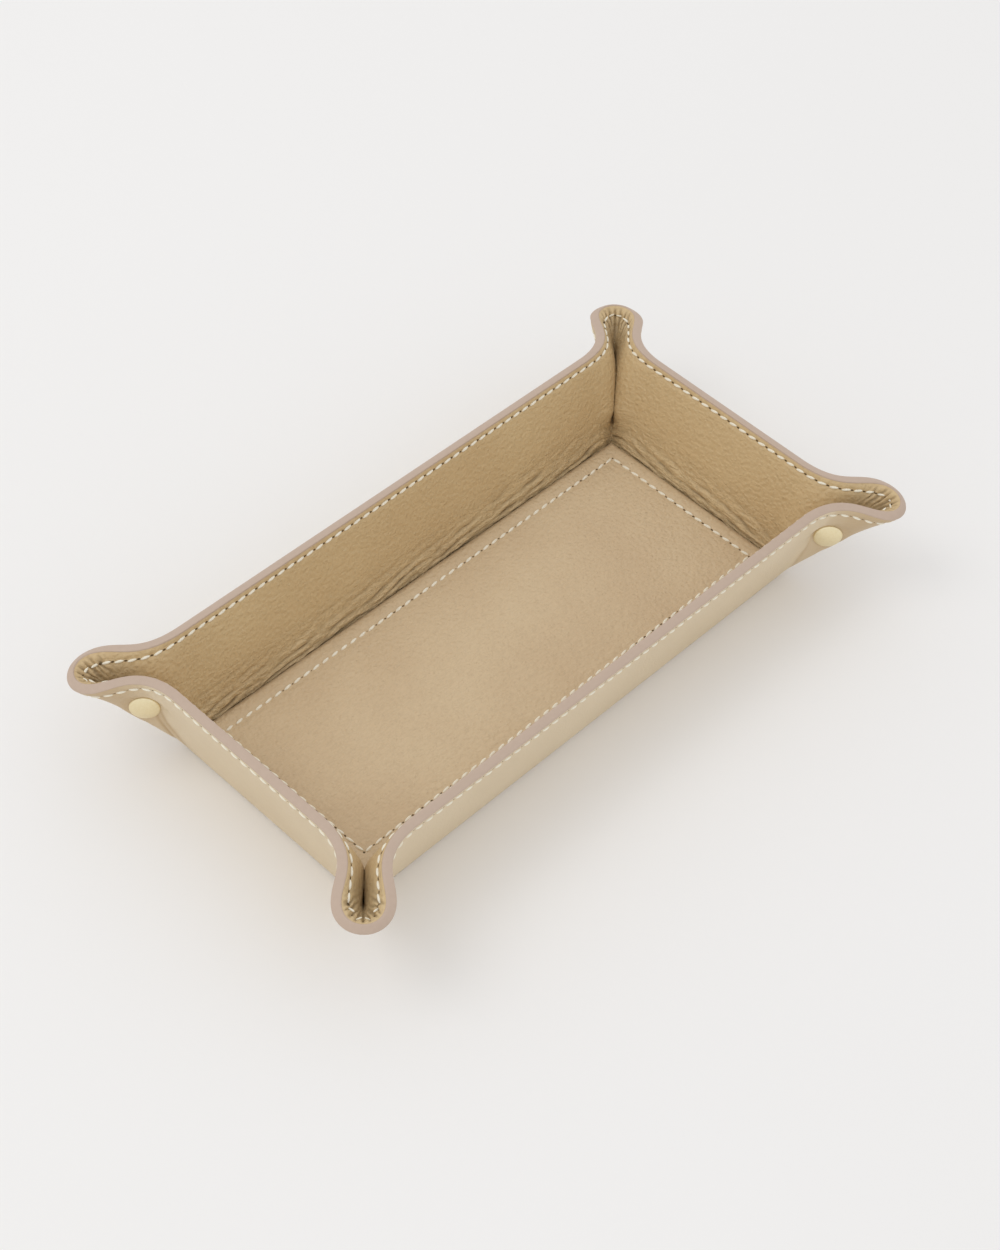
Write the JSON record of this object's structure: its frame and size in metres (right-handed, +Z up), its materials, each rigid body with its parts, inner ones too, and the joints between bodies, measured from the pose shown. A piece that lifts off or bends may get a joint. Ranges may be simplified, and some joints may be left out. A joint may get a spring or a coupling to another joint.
{
  "type": "valet tray",
  "caption": "Rectangular stitched leather valet tray with outward-leaning walls, pinched snap corners that open so the walls fold down, and a stiffened flat base.",
  "frame": {"origin": "middle of the base's underside, on the table", "axes": "+X along the long walls, +Y towards the back long wall, +Z up"},
  "size_m": [0.2608, 0.1408, 0.0433],
  "materials": {
    "outer_leather": "smooth pale beige leather",
    "lining_leather": "pebbled tan leather",
    "board": "dense grey-brown stiffening board",
    "thread": "waxed ivory thread",
    "brass": "satin pale gold"
  },
  "bodies": {
    "base": {"base_outer": "outer_leather", "base_board": "board", "base_lining": "lining_leather", "base_seam": "thread"},
    "front_wall": {"front_outer": "outer_leather", "front_board": "board", "front_lining": "lining_leather", "front_seam": "thread"},
    "back_wall": {"back_outer": "outer_leather", "back_board": "board", "back_lining": "lining_leather", "back_seam": "thread"},
    "left_wall": {"left_outer": "outer_leather", "left_board": "board", "left_lining": "lining_leather", "left_seam": "thread"},
    "right_wall": {"right_outer": "outer_leather", "right_board": "board", "right_lining": "lining_leather", "right_seam": "thread"},
    "ear_back_right": {"ear_back_right_outer": "outer_leather", "ear_back_right_lining": "lining_leather", "ear_back_right_seam": "thread", "snap_cap_back_right": "brass", "snap_socket_back_right": "brass"},
    "ear_right_back": {"ear_right_back_outer": "outer_leather", "ear_right_back_lining": "lining_leather", "ear_right_back_seam": "thread", "snap_post_back_right": "brass", "snap_stud_back_right": "brass"},
    "ear_back_left": {"ear_back_left_outer": "outer_leather", "ear_back_left_lining": "lining_leather", "ear_back_left_seam": "thread", "snap_cap_back_left": "brass", "snap_socket_back_left": "brass"},
    "ear_left_back": {"ear_left_back_outer": "outer_leather", "ear_left_back_lining": "lining_leather", "ear_left_back_seam": "thread", "snap_post_back_left": "brass", "snap_stud_back_left": "brass"},
    "ear_front_right": {"ear_front_right_outer": "outer_leather", "ear_front_right_lining": "lining_leather", "ear_front_right_seam": "thread", "snap_cap_front_right": "brass", "snap_socket_front_right": "brass"},
    "ear_right_front": {"ear_right_front_outer": "outer_leather", "ear_right_front_lining": "lining_leather", "ear_right_front_seam": "thread", "snap_post_front_right": "brass", "snap_stud_front_right": "brass"},
    "ear_front_left": {"ear_front_left_outer": "outer_leather", "ear_front_left_lining": "lining_leather", "ear_front_left_seam": "thread", "snap_cap_front_left": "brass", "snap_socket_front_left": "brass"},
    "ear_left_front": {"ear_left_front_outer": "outer_leather", "ear_left_front_lining": "lining_leather", "ear_left_front_seam": "thread", "snap_post_front_left": "brass", "snap_stud_front_left": "brass"}
  },
  "joints": [
    {"name": "front_fold", "type": "hinge", "parent": "base", "child": "front_wall", "pos_m": [0, -0.041, 0.0018], "axis": [1, 0, 0], "range_deg": [0, 45]},
    {"name": "back_fold", "type": "hinge", "parent": "base", "child": "back_wall", "pos_m": [0, 0.041, 0.0018], "axis": [-1, 0, 0], "range_deg": [0, 45]},
    {"name": "left_fold", "type": "hinge", "parent": "base", "child": "left_wall", "pos_m": [-0.101, 0, 0.0018], "axis": [0, -1, 0], "range_deg": [0, 45]},
    {"name": "right_fold", "type": "hinge", "parent": "base", "child": "right_wall", "pos_m": [0.101, 0, 0.0018], "axis": [0, 1, 0], "range_deg": [0, 45]},
    {"name": "ear_back_right_crease", "type": "hinge", "parent": "back_wall", "child": "ear_back_right", "pos_m": [0.097, 0.041, 0.0018], "axis": [-0.1283, -0.2567, -0.9579], "range_deg": [0, 13.5]},
    {"name": "ear_right_back_crease", "type": "hinge", "parent": "right_wall", "child": "ear_right_back", "pos_m": [0.101, 0.037, 0.0018], "axis": [0.2567, 0.1283, 0.9579], "range_deg": [0, 13.5]},
    {"name": "ear_back_left_crease", "type": "hinge", "parent": "back_wall", "child": "ear_back_left", "pos_m": [-0.097, 0.041, 0.0018], "axis": [-0.1283, 0.2567, 0.9579], "range_deg": [0, 13.5]},
    {"name": "ear_left_back_crease", "type": "hinge", "parent": "left_wall", "child": "ear_left_back", "pos_m": [-0.101, 0.037, 0.0018], "axis": [0.2567, -0.1283, -0.9579], "range_deg": [0, 13.5]},
    {"name": "ear_front_right_crease", "type": "hinge", "parent": "front_wall", "child": "ear_front_right", "pos_m": [0.097, -0.041, 0.0018], "axis": [0.1283, -0.2567, 0.9579], "range_deg": [0, 13.5]},
    {"name": "ear_right_front_crease", "type": "hinge", "parent": "right_wall", "child": "ear_right_front", "pos_m": [0.101, -0.037, 0.0018], "axis": [-0.2567, 0.1283, -0.9579], "range_deg": [0, 13.5]},
    {"name": "ear_front_left_crease", "type": "hinge", "parent": "front_wall", "child": "ear_front_left", "pos_m": [-0.097, -0.041, 0.0018], "axis": [0.1283, 0.2567, -0.9579], "range_deg": [0, 13.5]},
    {"name": "ear_left_front_crease", "type": "hinge", "parent": "left_wall", "child": "ear_left_front", "pos_m": [-0.101, -0.037, 0.0018], "axis": [-0.2567, -0.1283, 0.9579], "range_deg": [0, 13.5]}
  ],
  "couplings": [
    {"joint": "back_fold", "follows": "front_fold", "ratio": 1},
    {"joint": "left_fold", "follows": "front_fold", "ratio": 1},
    {"joint": "right_fold", "follows": "front_fold", "ratio": 1},
    {"joint": "ear_back_right_crease", "follows": "front_fold", "ratio": 0.3},
    {"joint": "ear_right_back_crease", "follows": "front_fold", "ratio": 0.3},
    {"joint": "ear_back_left_crease", "follows": "front_fold", "ratio": 0.3},
    {"joint": "ear_left_back_crease", "follows": "front_fold", "ratio": 0.3},
    {"joint": "ear_front_right_crease", "follows": "front_fold", "ratio": 0.3},
    {"joint": "ear_right_front_crease", "follows": "front_fold", "ratio": 0.3},
    {"joint": "ear_front_left_crease", "follows": "front_fold", "ratio": 0.3},
    {"joint": "ear_left_front_crease", "follows": "front_fold", "ratio": 0.3}
  ]
}
